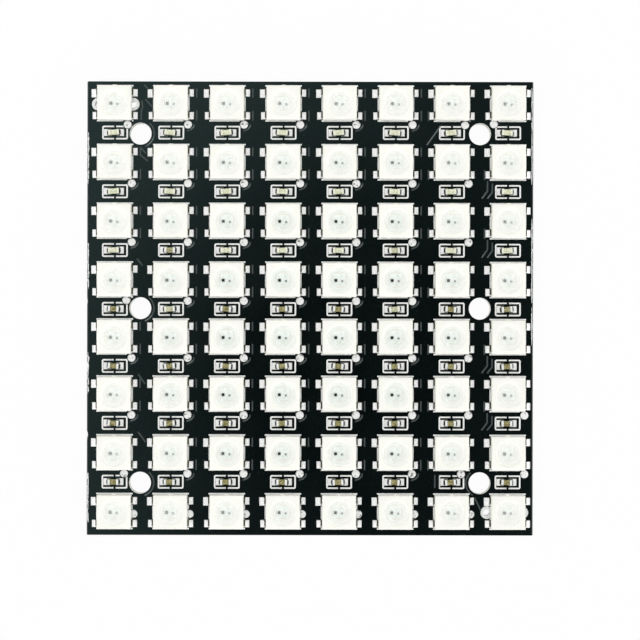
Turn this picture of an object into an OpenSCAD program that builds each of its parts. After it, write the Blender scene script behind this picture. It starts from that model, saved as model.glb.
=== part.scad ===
// RGB LED matrix panel: a bare circuit board that carries an 8 by 8 grid of
// 5 mm square colour LEDs, with a small ceramic capacitor under each LED of
// the upper seven rows. It lies on its flat back, with the LEDs looking up.
// The origin is the middle of the back face, X runs to the right and Y runs
// towards row 1, the top row. All sizes are in millimetres.

/* [LED grid] */
// Spacing of the LED columns
col_pitch = 8.17; // [8:0.01:9]
// Spacing of the outer LED rows, three gaps at the top and two at the bottom
row_pitch = 8.55; // [8.4:0.01:9.5]
// Spacing of the two row gaps in the middle
mid_row_pitch = 8.3; // [8.25:0.01:9.5]
// Shift of the whole grid towards the right edge
grid_shift = 0.19; // [0:0.01:0.3]

/* [Board] */
// Board beside the outer columns, measured from their centres
side_margin = 3.905; // [3.85:0.005:6]
// Board above and below the outer rows, measured from their centres
end_margin = 3.325; // [3.2:0.005:6]
// Thickness of the finished board with both solder masks
board_t = 1.6; // [1.2:0.1:2.4]
// Width of the bevel that scoring leaves on the left and right edges
score_w = 0.22; // [0.1:0.01:0.3]
// Depth of that bevel on each face
score_d = 0.45; // [0.2:0.05:0.5]
// Thickness of the solder mask over bare laminate
mask_t = 0.06; // [0.055:0.005:0.08]

/* [Mounting holes] */
// Diameter of the six mounting holes
hole_d = 3.2; // [2.5:0.1:3.4]
// How far the holes stand outside the middle of the column gap
hole_out = 0.19; // [0:0.01:0.25]

/* [LED package] */
// Width of the square housing at its foot
led_w = 5; // [4.6:0.05:5.2]
// Height of the package from the soles of its feet
led_h = 1.55; // [1.3:0.05:2]
// Height of the top of the lead frame, which is the floor of the cup
part_z = 0.65; // [0.6:0.01:0.75]
// Taper of the side walls, in degrees
draft = 4; // [1:0.5:6]
// Chamfer of the upright corners
corner_cut = 0.14; // [0.05:0.01:0.3]
// Gap between the folded feet and the underside of the housing
foot_gap = 0.05; // [0.03:0.01:0.1]
// Width of the mould gate stub on the upper side
gate_w = 0.6; // [0.3:0.05:0.9]
// Height of the gate stub
gate_h = 0.3; // [0.2:0.05:0.5]
// How far the stub reaches below the top of the lead frame
gate_drop = 0.2; // [0:0.05:0.3]
// How far the gate stub stands out
gate_out = 0.12; // [0.05:0.01:0.2]
// How far the packages sit above the middle of their pads
led_up = 0.13; // [0:0.01:0.2]

/* [LED cup] */
// Diameter of the reflector cup at the top of the resin
cup_d = 3.7; // [3.2:0.05:3.9]
// Diameter of the reflector cup at its floor
cup_floor_d = 3.1; // [2.8:0.05:3.15]
// Width of the shallow step round the mouth of the cup
rim_w = 0.12; // [0.05:0.01:0.2]
// Depth of that step, where the resin ends
rim_d = 0.05; // [0.02:0.01:0.1]

/* [LED leads] */
// Thickness of the lead frame strip
lead_t = 0.15; // [0.1:0.01:0.18]
// Width of each lead outside the housing
lead_w = 0.9; // [0.7:0.05:1.1]
// Spacing of the two leads on one side
lead_pitch = 3.31; // [3.1:0.01:3.4]
// How far the leads stand out past the housing
lead_out = 0.2; // [0.19:0.01:0.3]
// Length of each foot, folded back under the housing
foot_l = 0.95; // [0.7:0.05:1]
// Width of the middle paddle that carries the chips
paddle_w = 1.7; // [1.6:0.05:1.8]
// How far the blades of the leads stop short of the middle
blade_x0 = 0.45; // [0.3:0.01:0.6]

/* [LED chips] */
// Side of the driver chip
driver_w = 0.4; // [0.3:0.01:0.5]
// Thickness of the driver chip
driver_t = 0.15; // [0.1:0.01:0.2]
// Side of the red chip
red_w = 0.28; // [0.2:0.01:0.35]
// Side of the green and the blue chip
blue_w = 0.26; // [0.2:0.01:0.35]
// Thickness of the three light chips
chip_t = 0.12; // [0.08:0.01:0.15]
// Middle of each chip, from the middle of the cup
driver_spot = [-0.53, -0.09];
red_spot = [0.4, -0.19];
green_spot = [0.22, 0.5];
blue_spot = [0.05, -0.6];

/* [Pads and solder] */
// Thickness of the copper
copper_t = 0.035; // [0.02:0.005:0.045]
// Solder on each pad, under the feet and the chip ends
solder_t = 0.05; // [0.04:0.005:0.08]
// How far a pad runs out past the face of its lead
pad_out = 0.55; // [0.45:0.01:0.65]
// How much wider a pad is than its lead
pad_more = 0.1; // [0:0.01:0.2]
// How much taller and longer the pad of pin 1 is, at the upper left
pin1_more = 0.16; // [0:0.01:0.2]
// Radius of the solder fillet against a lead
fillet_r = 0.38; // [0.2:0.01:0.39]
// How hollow a fillet is: less is hollower
fillet_hollow = 1.5; // [1.1:0.1:3]
// Gap between a pad and the edge of its opening in the mask
mask_gap = 0.05; // [0.02:0.01:0.08]

/* [Capacitors] */
// Length of a chip capacitor
cap_l = 1.56; // [1.4:0.02:1.8]
// Width of a chip capacitor
cap_w = 0.8; // [0.7:0.02:0.9]
// Height of a chip capacitor
cap_h = 0.6; // [0.4:0.02:0.8]
// Length of each metal end along the top
cap_end = 0.32; // [0.2:0.01:0.45]
// How much the ceramic stays inside the faces of the ends
cap_metal = 0.03; // [0.02:0.005:0.05]
// Drop from the edge of the housing to the middle of the capacitor
cap_drop = 1.63; // [1.6:0.01:1.75]
// Shift of the capacitor and its pads to the left of its printed frame
cap_left = 0.17; // [0:0.01:0.17]
// Length over both capacitor pads
land_span = 2.86; // [2.6:0.02:2.86]
// Length of one capacitor pad
land_l = 1; // [0.8:0.02:1.1]
// Width of the capacitor pads
land_w = 0.95; // [0.85:0.01:1.1]
// Largest turn of a capacitor from soldering, in degrees
cap_turn = 5; // [0:0.5:6]
// Radius of the solder fillet at the ends of a capacitor
cap_fillet = 0.3; // [0.15:0.01:0.35]
// How far that fillet stays inside the sides of the capacitor
cap_fillet_in = 0.1; // [0.05:0.01:0.2]

/* [Filled holes] */
// Diameter of the solder-filled lands
via_d = 1.1; // [0.9:0.02:1.16]
// Diameter of the drilled hole under them
via_hole_d = 0.5; // [0.3:0.05:0.6]
// Height of the solder crown over the board
via_crown = 0.04; // [0.02:0.005:0.045]
// Gap between the housing edge and the middle of a land, downwards
via_drop = 0.45; // [0.4:0.01:0.5]
// How far the middle of a land lies inside the housing edge
via_in = 0.07; // [0:0.01:0.15]
// How far a land of row 8 stands out to the right of the housing edge
side_via_out = 0.26; // [0.2:0.01:0.35]
// How far a land of row 8 lies below the middle of the pads
side_via_drop = 0.26; // [0.1:0.01:0.4]

/* [Header holes] */
// Spacing of the three header holes
header_pitch = 2.54; // [2.5:0.01:2.6]
// Diameter of the plated header holes
header_hole_d = 1; // [0.8:0.05:1.1]
// Diameter of their lands
header_land_d = 1.8; // [1.6:0.05:1.9]
// How far the lands stay back from the face of the mask
land_back = 0.01; // [0.005:0.005:0.02]
// Thickness of the plating in the hole
plating_t = 0.05; // [0.03:0.01:0.08]
// How far the headers stand inside the outer columns
header_in = 0.27; // [0.2:0.01:0.35]

/* [Printed frames] */
// Thickness of the white print
ink_t = 0.02; // [0.01:0.005:0.03]
// Width of the printed lines
ink_w = 0.22; // [0.15:0.01:0.22]
// How far the LED frame reaches past the housing
frame_more = 0.15; // [0.1:0.01:0.2]
// How far the LED frame sits above the middle of the pads
frame_up = 0.15; // [0:0.01:0.2]
// Length of the frame round a capacitor
cap_frame_l = 3.75; // [3.7:0.01:3.8]
// Height of the frame round a capacitor
cap_frame_h = 2; // [1.8:0.01:2.02]
// Break in the middle of the capacitor frame
cap_frame_gap = 0.3; // [0.2:0.01:0.5]
// Gap kept between the print and any pad or land
ink_gap = 0.07; // [0.06:0.01:0.12]

/* [Tracks] */
// Width of the copper tracks
track_w = 0.3; // [0.2:0.01:0.4]
// Distance from the middle of an LED to the track beside it
track_x = 3.7; // [3.65:0.01:3.8]
// Gap between a mounting hole and the track that bends round it
track_hole_gap = 0.2; // [0.15:0.01:0.4]
// Length of that bend, as a share of its radius
track_hole_span = 1.7; // [1:0.1:2]
// Sideways and downward step of a track past a filled hole
track_step = [0.5, 0.6];
// Copper kept back from the board edge
plane_back = 0.4; // [0.3:0.01:0.6]
// Gap between the back copper and any hole or land
plane_gap = 0.25; // [0.2:0.01:0.4]

/* [Hidden] */
$fn = 40;

// The grid has one set of row nodes for each of these rows
rows = 8;
cols = 8;
cap_rows = rows - 1;
row_gaps = [row_pitch, row_pitch, row_pitch, mid_row_pitch, mid_row_pitch,
            row_pitch, row_pitch];

// Sum of the first n row gaps
function gap_sum(n) = n <= 0 ? 0 : row_gaps[n - 1] + gap_sum(n - 1);

grid_w = (cols - 1) * col_pitch;
grid_h = gap_sum(rows - 1);
board_w = grid_w + 2 * side_margin;
board_h = grid_h + 2 * end_margin;

// Middle of the four pads of an LED, with row 0 at the top and column 0 left
function pad_mid(row, col) =
    [grid_shift + col * col_pitch - grid_w / 2, grid_h / 2 - gap_sum(row)];

// Repeatable stray between -1 and 1 for a placed part
function stray(row, col) = sin(311 * row + 173 * col + 1552);

// Levels, from the back of the board
core_z0 = mask_t;
core_z1 = board_t - mask_t;
copper_z1 = core_z1 + copper_t;
seat_z = copper_z1 + solder_t;
land_t = mask_t - land_back;

// Overlap that joins two solids into one, or carries a cut past a face
over = 0.1;
// How deep the gate stub is rooted in the wall
gate_root = 0.3;
// Thin toe in which a solder fillet ends
toe = 0.002;

// Places that follow from the package
lead_x = led_w / 2 + lead_out;
pad_x0 = lead_x - foot_l;
pad_x1 = lead_x + pad_out;
pad_w = lead_w + pad_more;
cap_y = -(led_w / 2 + cap_drop);
resin_z1 = led_h - rim_d;
under_z = lead_t + foot_gap;

// Mounting holes: two columns of three, in the gaps between the LEDs
hole_x = (cols / 2 - 1) * col_pitch + hole_out;
hole_y = grid_h / 2 - row_pitch / 2;
hole_spots = [for (x = [-hole_x, hole_x], y = [-hole_y, 0, hole_y]) [x, y]];

// Header rows under the first and the last LED
header_x = grid_w / 2 - header_in;
header_y = grid_h / 2;
header_spots_in = [for (k = [-1:1]) [-header_x + k * header_pitch, header_y]];
header_spots_out = [for (k = [-1:1]) [header_x + k * header_pitch, -header_y]];
header_spots = concat(header_spots_in, header_spots_out);

// Filled holes. Most lie below the lower right corner of an LED. Beside a
// mounting hole the land moves round the hole: [column of holes, row of
// holes, angle, gap to the hole]. In row 8 they lie to the right of the LED.
beside_holes = [[-1, 1, 145, 0.15], [-1, 0, 150, 0.2], [-1, -1, 150, 0.55],
                [1, 1, 149, 0.4], [1, 1, 36, 0.33], [1, -1, 154, 0.85]];
function is_beside_hole(row, col) =
    (row == 0 || row == 3 || row == 6) && (col == 0 || col == 6);
function has_corner_via(row, col) =
    !is_beside_hole(row, col) && (col < cols - 1 || row == 5 || row == 6);
corner_vias = [
    for (row = [0:cap_rows - 1], col = [0:cols - 1])
    if (has_corner_via(row, col))
    pad_mid(row, col) + [led_w / 2 - via_in, -led_w / 2 - via_drop]
];
hole_vias = [
    for (v = beside_holes)
    [v[0] * hole_x, v[1] * hole_y]
    + (hole_d / 2 + via_d / 2 + v[3]) * [cos(v[2]), sin(v[2])]
];
side_vias = [
    for (col = [0:cols - 2])
    pad_mid(rows - 1, col) + [led_w / 2 + side_via_out, -side_via_drop]
];
via_spots = concat(corner_vias, hole_vias, side_vias);

// Flat shapes

// Rectangle with its upper right corner rounded
module bend(l, h, r) {
    square([l - r, h]);
    square([l, h - r]);
    translate([l - r, h - r]) circle(r);
}

// Discs of one size on a list of spots
module discs(spots, d) {
    for (p = spots) translate(p) circle(d = d);
}

// Pads of one LED, grown by a margin. Pin 1 is the upper left pad.
module led_pad_shapes(grow) {
    for (side = [-1, 1], end = [-1, 1]) {
        more = side < 0 && end > 0 ? pin1_more : 0;
        x0 = side < 0 ? -pad_x1 - more : pad_x0;
        y1 = end * lead_pitch / 2 + pad_w / 2;
        translate([x0 - grow, y1 - pad_w - more - grow])
            square([pad_x1 - pad_x0 + more + 2 * grow, pad_w + more + 2 * grow]);
    }
}

// Pads of one capacitor, grown by a margin, about the middle of the frame
module cap_pad_shapes(grow) {
    for (side = [-1, 1])
        translate([side * (land_span - land_l) / 2 - cap_left, 0])
            square([land_l + 2 * grow, land_w + 2 * grow], center = true);
}

// Repeats a flat or solid shape at the pads of every LED
module at_led_pads() {
    for (row = [0:rows - 1], col = [0:cols - 1])
        translate(pad_mid(row, col)) children();
}

// Repeats a flat or solid shape at the middle of every capacitor frame
module at_cap_frames() {
    for (row = [0:cap_rows - 1], col = [0:cols - 1])
        translate(pad_mid(row, col) + [0, cap_y]) children();
}

// Direction of a track at one of its points, halfway between its two pieces
function unit(v) = v / norm(v);
function heading(points, i) = unit(
    (i > 0 ? unit(points[i] - points[i - 1]) : [0, 0])
    + (i < len(points) - 1 ? unit(points[i + 1] - points[i]) : [0, 0])
);

// Edge point of a track beside one of its points, mitred at the bends
function track_edge(points, i, side) =
    let (h = heading(points, i),
         d = unit(i > 0 ? points[i] - points[i - 1] : points[1] - points[0]))
    points[i] + side * track_w / 2 / (h * d) * [-h[1], h[0]];

// Track along a list of points
module track(points) {
    n = len(points) - 1;
    polygon(concat([for (i = [0:n]) track_edge(points, i, 1)],
                   [for (i = [0:n]) track_edge(points, n - i, -1)]));
}

// Track that bends round a mounting hole on the side that a sign gives
module track_round_hole(side) {
    r = hole_d / 2 + track_hole_gap + track_w / 2;
    intersection() {
        difference() {
            circle(r + track_w / 2);
            circle(r - track_w / 2);
        }
        translate([side * r, 0]) square([2 * r, track_hole_span * r], center = true);
    }
}

module track_shapes() {
    for (row = [0:cap_rows - 1], col = [1:5])
        translate(pad_mid(row, col)) {
            y0 = -led_w / 2 - via_drop;
            track([[track_x, lead_pitch / 2 + pad_w], [track_x, y0],
                   [track_x - track_step[0], y0 - track_step[1]],
                   [(land_span - land_l) / 2, cap_y]]);
        }
    for (p = hole_spots)
        if (p[0] < 0) translate(p) track_round_hole(1);
    translate([hole_x, -hole_y]) track_round_hole(-1);
}

// Board

// The masks stop at the scored bevels
module mask_outline() {
    difference() {
        square([board_w - 2 * score_w, board_h], center = true);
        discs(hole_spots, hole_d);
    }
}

module board_laminate() {
    half = board_w / 2;
    bevel = score_w * (score_d - mask_t) / score_d;
    in = half - bevel;
    section = [[-in, core_z0], [in, core_z0], [half, score_d],
               [half, board_t - score_d], [in, core_z1], [-in, core_z1],
               [-half, board_t - score_d], [-half, score_d]];
    color([0.72, 0.68, 0.5]) difference() {
        rotate([90, 0, 0])
            linear_extrude(board_h, center = true) polygon(section);
        translate([0, 0, core_z0 - 1]) linear_extrude(board_t + 2) {
            discs(hole_spots, hole_d);
            discs(via_spots, via_hole_d);
            discs(header_spots, header_hole_d + 2 * plating_t);
        }
    }
}

module solder_mask_front() {
    color([0.04, 0.05, 0.06]) difference() {
        translate([0, 0, core_z1]) linear_extrude(mask_t) difference() {
            mask_outline();
            at_led_pads() led_pad_shapes(mask_gap);
            at_cap_frames() cap_pad_shapes(mask_gap);
            discs(via_spots, via_d + 2 * mask_gap);
            discs(header_spots, header_land_d + 2 * mask_gap);
        }
        front_tracks();
    }
}

module front_tracks() {
    color([0.72, 0.42, 0.25])
        translate([0, 0, core_z1]) linear_extrude(copper_t) difference() {
            track_shapes();
            at_cap_frames() cap_pad_shapes(mask_gap);
        }
}

module plane_outline() {
    difference() {
        square([board_w - 2 * plane_back, board_h - 2 * plane_back],
               center = true);
        discs(hole_spots, hole_d + 2 * plane_gap);
        discs(via_spots, via_d + 2 * plane_gap);
        discs(header_spots, header_land_d + 2 * plane_gap);
    }
}

module back_copper_plane() {
    color([0.72, 0.42, 0.25])
        translate([0, 0, core_z0 - copper_t]) linear_extrude(copper_t)
            plane_outline();
}

module solder_mask_back() {
    color([0.04, 0.05, 0.06]) difference() {
        linear_extrude(mask_t) difference() {
            mask_outline();
            discs(via_spots, via_d + 2 * mask_gap);
            discs(header_spots, header_land_d + 2 * mask_gap);
        }
        back_copper_plane();
    }
}

// One solder-filled hole: two lands, the plug between them and a low crown
module filled_hole() {
    crown_r = via_d / 2 - via_crown;
    translate([0, 0, mask_t - land_t])
        cylinder(d = via_hole_d, h = board_t - 2 * (mask_t - land_t));
    translate([0, 0, mask_t - land_t]) cylinder(d = via_d, h = land_t);
    translate([0, 0, core_z1]) cylinder(d = via_d, h = mask_t);
    translate([0, 0, board_t])
        cylinder(r1 = via_d / 2, r2 = crown_r, h = via_crown);
}

module filled_holes() {
    color([0.82, 0.83, 0.84]) for (p = via_spots) translate(p) filled_hole();
}

// One plated header hole: a sleeve with a land on each face
module plated_hole() {
    z0 = mask_t - land_t;
    difference() {
        union() {
            translate([0, 0, z0])
                cylinder(d = header_hole_d + 2 * plating_t, h = board_t - 2 * z0);
            for (z = [z0, core_z1])
                translate([0, 0, z]) cylinder(d = header_land_d, h = land_t);
        }
        translate([0, 0, -1]) cylinder(d = header_hole_d, h = board_t + 2);
    }
}

module data_in_header_holes() {
    color([0.82, 0.83, 0.84])
        for (p = header_spots_in) translate(p) plated_hole();
}

module data_out_header_holes() {
    color([0.82, 0.83, 0.84])
        for (p = header_spots_out) translate(p) plated_hole();
}

// Everything that the print keeps clear of
module ink_keepout() {
    grow = mask_gap + ink_gap;
    at_led_pads() led_pad_shapes(grow);
    at_cap_frames() cap_pad_shapes(mask_gap);
    discs(via_spots, via_d + 2 * grow);
    discs(header_spots, header_land_d + 2 * grow);
}

// Four printed bars round an LED. The upright ones stop at the pads.
module led_frame_bars() {
    reach = led_w / 2 + frame_more - ink_w / 2;
    clear = lead_pitch - pad_w - 2 * (mask_gap + ink_gap);
    for (end = [-1, 1]) translate([0, frame_up + end * reach])
        square([2 * reach + ink_w, ink_w], center = true);
    for (side = [-1, 1]) translate([side * reach, 0])
        square([ink_w, clear], center = true);
}

// The bars end squarely beside a filled hole
module printed_led_frames() {
    color("white") translate([0, 0, board_t]) linear_extrude(ink_t)
        difference() {
            at_led_pads() led_frame_bars();
            ink_keepout();
            for (p = via_spots) translate(p)
                square(via_d + 2 * (mask_gap + ink_gap), center = true);
        }
}

module printed_capacitor_frames() {
    color("white") translate([0, 0, board_t]) linear_extrude(ink_t)
        difference() {
            at_cap_frames() difference() {
                square([cap_frame_l, cap_frame_h], center = true);
                square([cap_frame_l - 2 * ink_w, cap_frame_h - 2 * ink_w],
                       center = true);
                square([cap_frame_gap, cap_frame_h + 1], center = true);
            }
            ink_keepout();
        }
}

// LEDs, each about the middle of its housing and the soles of its feet

// Puts a package on its pads
module place_led(row, col) {
    p = pad_mid(row, col);
    translate([p[0], p[1] + led_up, seat_z]) children();
}

// Repeats a package along one row
module led_row(row) {
    for (col = [0:cols - 1]) place_led(row, col) children();
}

// Section of the tapered walls, drawn across X
module wall_prism() {
    x0 = led_w / 2;
    x1 = x0 - (led_h - under_z) * tan(draft);
    rotate([90, 0, 0]) linear_extrude(led_w + 1, center = true)
        polygon([[-x0, under_z], [x0, under_z], [x1, led_h], [-x1, led_h]]);
}

module housing_blank() {
    intersection() {
        wall_prism();
        rotate(90) wall_prism();
        rotate(45) cube([sqrt(2) * (led_w - corner_cut),
                         sqrt(2) * (led_w - corner_cut), 4 * led_h], center = true);
    }
    translate([-gate_w / 2, led_w / 2 - gate_root, part_z - gate_drop])
        cube([gate_w, gate_root + gate_out, gate_h]);
}

// Cup cone, from the floor up to a height
module cup(z1) {
    slope = (cup_d - cup_floor_d) / (resin_z1 - part_z);
    translate([0, 0, part_z])
        cylinder(d1 = cup_floor_d, d2 = cup_floor_d + slope * (z1 - part_z),
                 h = z1 - part_z);
}

// Side view of a lead: out from the frame, down the wall and back under
module lead_section() {
    difference() {
        union() {
            translate([pad_x0, 0]) bend(foot_l, part_z, lead_t);
            translate([blade_x0, part_z - lead_t])
                square([pad_x0 - blade_x0, lead_t]);
        }
        translate([pad_x0 - 1, lead_t])
            square([foot_l - lead_t + 1, part_z - 2 * lead_t]);
    }
}

// One formed lead with its blade inside the housing. The lower left one
// also carries the paddle in the middle.
module lead(side, end) {
    paddle = paddle_w / 2;
    mirror([side < 0 ? 1 : 0, 0, 0]) mirror([0, end < 0 ? 1 : 0, 0]) {
        translate([0, lead_pitch / 2, 0])
            rotate([90, 0, 0]) linear_extrude(lead_w, center = true) lead_section();
        if (side < 0 && end < 0) {
            translate([-paddle, -paddle, part_z - lead_t])
                cube([paddle_w, paddle_w, lead_t]);
            translate([blade_x0, paddle - over, part_z - lead_t])
                cube([paddle - blade_x0, lead_pitch / 2 - paddle, lead_t]);
        }
    }
}

module leads() {
    for (side = [-1, 1], end = [-1, 1]) lead(side, end);
}

module housing() {
    difference() {
        housing_blank();
        cup(led_h + over);
        translate([0, 0, resin_z1]) cylinder(d = cup_d + 2 * rim_w, h = 1);
        leads();
    }
}

module chip(spot, w, t) {
    translate([spot[0] - w / 2, spot[1] - w / 2, part_z]) cube([w, w, t]);
}

module driver_chip() { chip(driver_spot, driver_w, driver_t); }
module red_chip() { chip(red_spot, red_w, chip_t); }
module green_chip() { chip(green_spot, blue_w, chip_t); }
module blue_chip() { chip(blue_spot, blue_w, chip_t); }

module resin() {
    difference() {
        cup(resin_z1);
        driver_chip();
        red_chip();
        green_chip();
        blue_chip();
    }
}

module led_housings(row) {
    color([0.95, 0.95, 0.9]) led_row(row) housing();
}

module led_leads(row) {
    color([0.7, 0.71, 0.68]) led_row(row) leads();
}

module led_resin(row) {
    color([0.93, 0.96, 0.94, 0.6]) led_row(row) resin();
}

module in_every_led() {
    for (row = [0:rows - 1]) led_row(row) children();
}

module driver_chips() { color([0.12, 0.13, 0.14]) in_every_led() driver_chip(); }
module red_chips() { color([0.45, 0.42, 0.42]) in_every_led() red_chip(); }
module green_chips() { color([0.75, 0.85, 0.78]) in_every_led() green_chip(); }
module blue_chips() { color([0.75, 0.8, 0.88]) in_every_led() blue_chip(); }

// Corner of solder with a hollow face, drawn across X from a wall at x
module fillet_section(x, r) {
    c = fillet_hollow * r;
    difference() {
        translate([x, 0]) square(r);
        translate([x + c, c]) circle(norm([c, c - r]) + toe);
    }
}

// Section of a tinned pad with the solder that climbs its lead
module led_joint_section(more) {
    translate([pad_x0, -solder_t - copper_t])
        square([pad_x1 - pad_x0 + more, solder_t + copper_t]);
    fillet_section(lead_x, fillet_r);
}

// The four joints of an LED. Pin 1, at the upper left, has the larger pad.
module led_joints() {
    for (side = [-1, 1], end = [-1, 1]) {
        more = side < 0 && end > 0 ? pin1_more : 0;
        mirror([side < 0 ? 1 : 0, 0, 0])
            translate([0, (end * lead_pitch - more) / 2, seat_z]) rotate([90, 0, 0])
                linear_extrude(pad_w + more, center = true) led_joint_section(more);
    }
}

module led_pads(row) {
    color([0.85, 0.86, 0.87])
        for (col = [0:cols - 1]) translate(pad_mid(row, col)) led_joints();
}

// Capacitors, each about its middle and its underside

module place_cap(row, col) {
    p = pad_mid(row, col) + [-cap_left, cap_y];
    translate([p[0], p[1], seat_z]) rotate(cap_turn * stray(row, col))
        children();
}

module cap_core() {
    m = cap_metal;
    translate([0, 0, cap_h / 2])
        cube([cap_l - 2 * cap_end, cap_w - 2 * m, cap_h - 2 * m], center = true);
}

module cap_end_caps() {
    for (side = [-1, 1])
        translate([side * (cap_l - cap_end) / 2, 0, cap_h / 2])
            cube([cap_end, cap_w, cap_h], center = true);
}

module capacitor_bodies(row) {
    color([0.78, 0.68, 0.45])
        for (col = [0:cols - 1]) place_cap(row, col) cap_core();
}

module capacitor_ends() {
    color([0.88, 0.88, 0.86])
        for (row = [0:cap_rows - 1], col = [0:cols - 1])
            place_cap(row, col) cap_end_caps();
}

module cap_fillets() {
    for (side = [-1, 1])
        mirror([side < 0 ? 1 : 0, 0, 0])
            rotate([90, 0, 0]) linear_extrude(cap_w - 2 * cap_fillet_in, center = true)
                fillet_section(cap_l / 2, cap_fillet);
}

// Tinned pads of the capacitors, with the solder at the chip ends
module capacitor_pads() {
    color([0.85, 0.86, 0.87]) {
        translate([0, 0, core_z1]) linear_extrude(copper_t + solder_t)
            at_cap_frames() cap_pad_shapes(0);
        for (row = [0:cap_rows - 1], col = [0:cols - 1])
            place_cap(row, col) cap_fillets();
    }
}

board_laminate();
solder_mask_front();
solder_mask_back();
back_copper_plane();
front_tracks();
filled_holes();
data_in_header_holes();
data_out_header_holes();
printed_led_frames();
printed_capacitor_frames();
led_housings(0);  // led_housings_row_1
led_housings(1);  // led_housings_row_2
led_housings(2);  // led_housings_row_3
led_housings(3);  // led_housings_row_4
led_housings(4);  // led_housings_row_5
led_housings(5);  // led_housings_row_6
led_housings(6);  // led_housings_row_7
led_housings(7);  // led_housings_row_8
led_leads(0);  // led_leads_row_1
led_leads(1);  // led_leads_row_2
led_leads(2);  // led_leads_row_3
led_leads(3);  // led_leads_row_4
led_leads(4);  // led_leads_row_5
led_leads(5);  // led_leads_row_6
led_leads(6);  // led_leads_row_7
led_leads(7);  // led_leads_row_8
led_resin(0);  // led_resin_row_1
led_resin(1);  // led_resin_row_2
led_resin(2);  // led_resin_row_3
led_resin(3);  // led_resin_row_4
led_resin(4);  // led_resin_row_5
led_resin(5);  // led_resin_row_6
led_resin(6);  // led_resin_row_7
led_resin(7);  // led_resin_row_8
driver_chips();
red_chips();
green_chips();
blue_chips();
led_pads(0);  // led_pads_row_1
led_pads(1);  // led_pads_row_2
led_pads(2);  // led_pads_row_3
led_pads(3);  // led_pads_row_4
led_pads(4);  // led_pads_row_5
led_pads(5);  // led_pads_row_6
led_pads(6);  // led_pads_row_7
led_pads(7);  // led_pads_row_8
capacitor_bodies(0);  // capacitor_bodies_row_1
capacitor_bodies(1);  // capacitor_bodies_row_2
capacitor_bodies(2);  // capacitor_bodies_row_3
capacitor_bodies(3);  // capacitor_bodies_row_4
capacitor_bodies(4);  // capacitor_bodies_row_5
capacitor_bodies(5);  // capacitor_bodies_row_6
capacitor_bodies(6);  // capacitor_bodies_row_7
capacitor_ends();
capacitor_pads();
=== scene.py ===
import math
import random

import bpy
from bpy.props import FloatProperty, FloatVectorProperty, IntProperty, PointerProperty
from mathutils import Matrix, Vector


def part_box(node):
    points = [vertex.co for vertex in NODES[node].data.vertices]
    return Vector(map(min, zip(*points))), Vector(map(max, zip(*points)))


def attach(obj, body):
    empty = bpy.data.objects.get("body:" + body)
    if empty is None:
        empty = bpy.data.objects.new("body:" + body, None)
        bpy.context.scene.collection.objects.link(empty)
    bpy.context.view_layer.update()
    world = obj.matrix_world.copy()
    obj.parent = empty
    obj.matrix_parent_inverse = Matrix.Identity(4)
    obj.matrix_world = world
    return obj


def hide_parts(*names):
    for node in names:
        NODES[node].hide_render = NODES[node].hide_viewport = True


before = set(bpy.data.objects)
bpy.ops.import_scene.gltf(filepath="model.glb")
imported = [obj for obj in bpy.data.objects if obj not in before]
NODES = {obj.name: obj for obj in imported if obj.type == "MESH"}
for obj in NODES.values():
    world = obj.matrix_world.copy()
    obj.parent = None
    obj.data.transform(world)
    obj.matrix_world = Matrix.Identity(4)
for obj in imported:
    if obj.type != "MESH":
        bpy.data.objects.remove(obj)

bl_info = {
    "name": "RGB LED Matrix Panel",
    "version": (1, 0, 0),
    "blender": (4, 5, 0),
    "location": "3D View > Sidebar > LED Panel",
    "description": "Dresses the packed board, its 64 LEDs and its capacitors, and sets the stage",
    "category": "Object",
}

MM = 0.001
ROWS = range(1, 9)
CAP_ROWS = range(1, 8)
BOARD_LO, BOARD_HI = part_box("board_laminate")
MASK_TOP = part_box("solder_mask_front")[1].z


# Places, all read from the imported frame

def led_places(row):
    """Middles of the eight cups of a row, and the levels of their floor and mouth."""
    lo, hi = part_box(f"led_resin_row_{row}")
    r = (hi.y - lo.y) / 2
    step = (hi.x - lo.x - 2 * r) / 7
    y = (lo.y + hi.y) / 2
    return [Vector((lo.x + r + k * step, y, 0)) for k in range(8)], r, lo.z, hi.z


GRID = {row: led_places(row) for row in ROWS}
CUP_R, FLOOR_Z, RESIN_Z = GRID[1][1:]
STEP_X = GRID[1][0][1].x - GRID[1][0][0].x
PAD_DROP = 0.13 * MM
CAP_DROP = 4.13 * MM


# Small steps that a modeller does by hand

def deselect():
    bpy.ops.object.select_all(action="DESELECT")


def pick(*objs):
    deselect()
    for o in objs:
        o.select_set(True)
    bpy.context.view_layer.objects.active = objs[0]


def edit(obj, kind="VERT", select="SELECT"):
    pick(obj)
    bpy.ops.object.mode_set(mode="EDIT")
    bpy.ops.mesh.select_mode(type=kind)
    bpy.ops.mesh.select_all(action=select)


def leave():
    bpy.ops.object.mode_set(mode="OBJECT")


def named(name):
    """The object that an operator has just added."""
    obj = bpy.context.object
    obj.name = name
    obj.data.name = name
    return obj


def choose(obj, kind, test):
    """Selects the vertices, edges or faces that pass a test, and goes on editing."""
    leave()
    mesh = obj.data
    for group in (mesh.vertices, mesh.edges, mesh.polygons):
        for x in group:
            x.select = False
    group = {"VERT": mesh.vertices, "EDGE": mesh.edges, "FACE": mesh.polygons}[kind]
    found = 0
    for x in group:
        x.select = bool(test(x))
        found += x.select
    if not found:
        raise RuntimeError(f"nothing on {obj.name} passes the test")
    bpy.ops.object.mode_set(mode="EDIT")
    bpy.ops.mesh.select_mode(type=kind)
    return found


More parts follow.
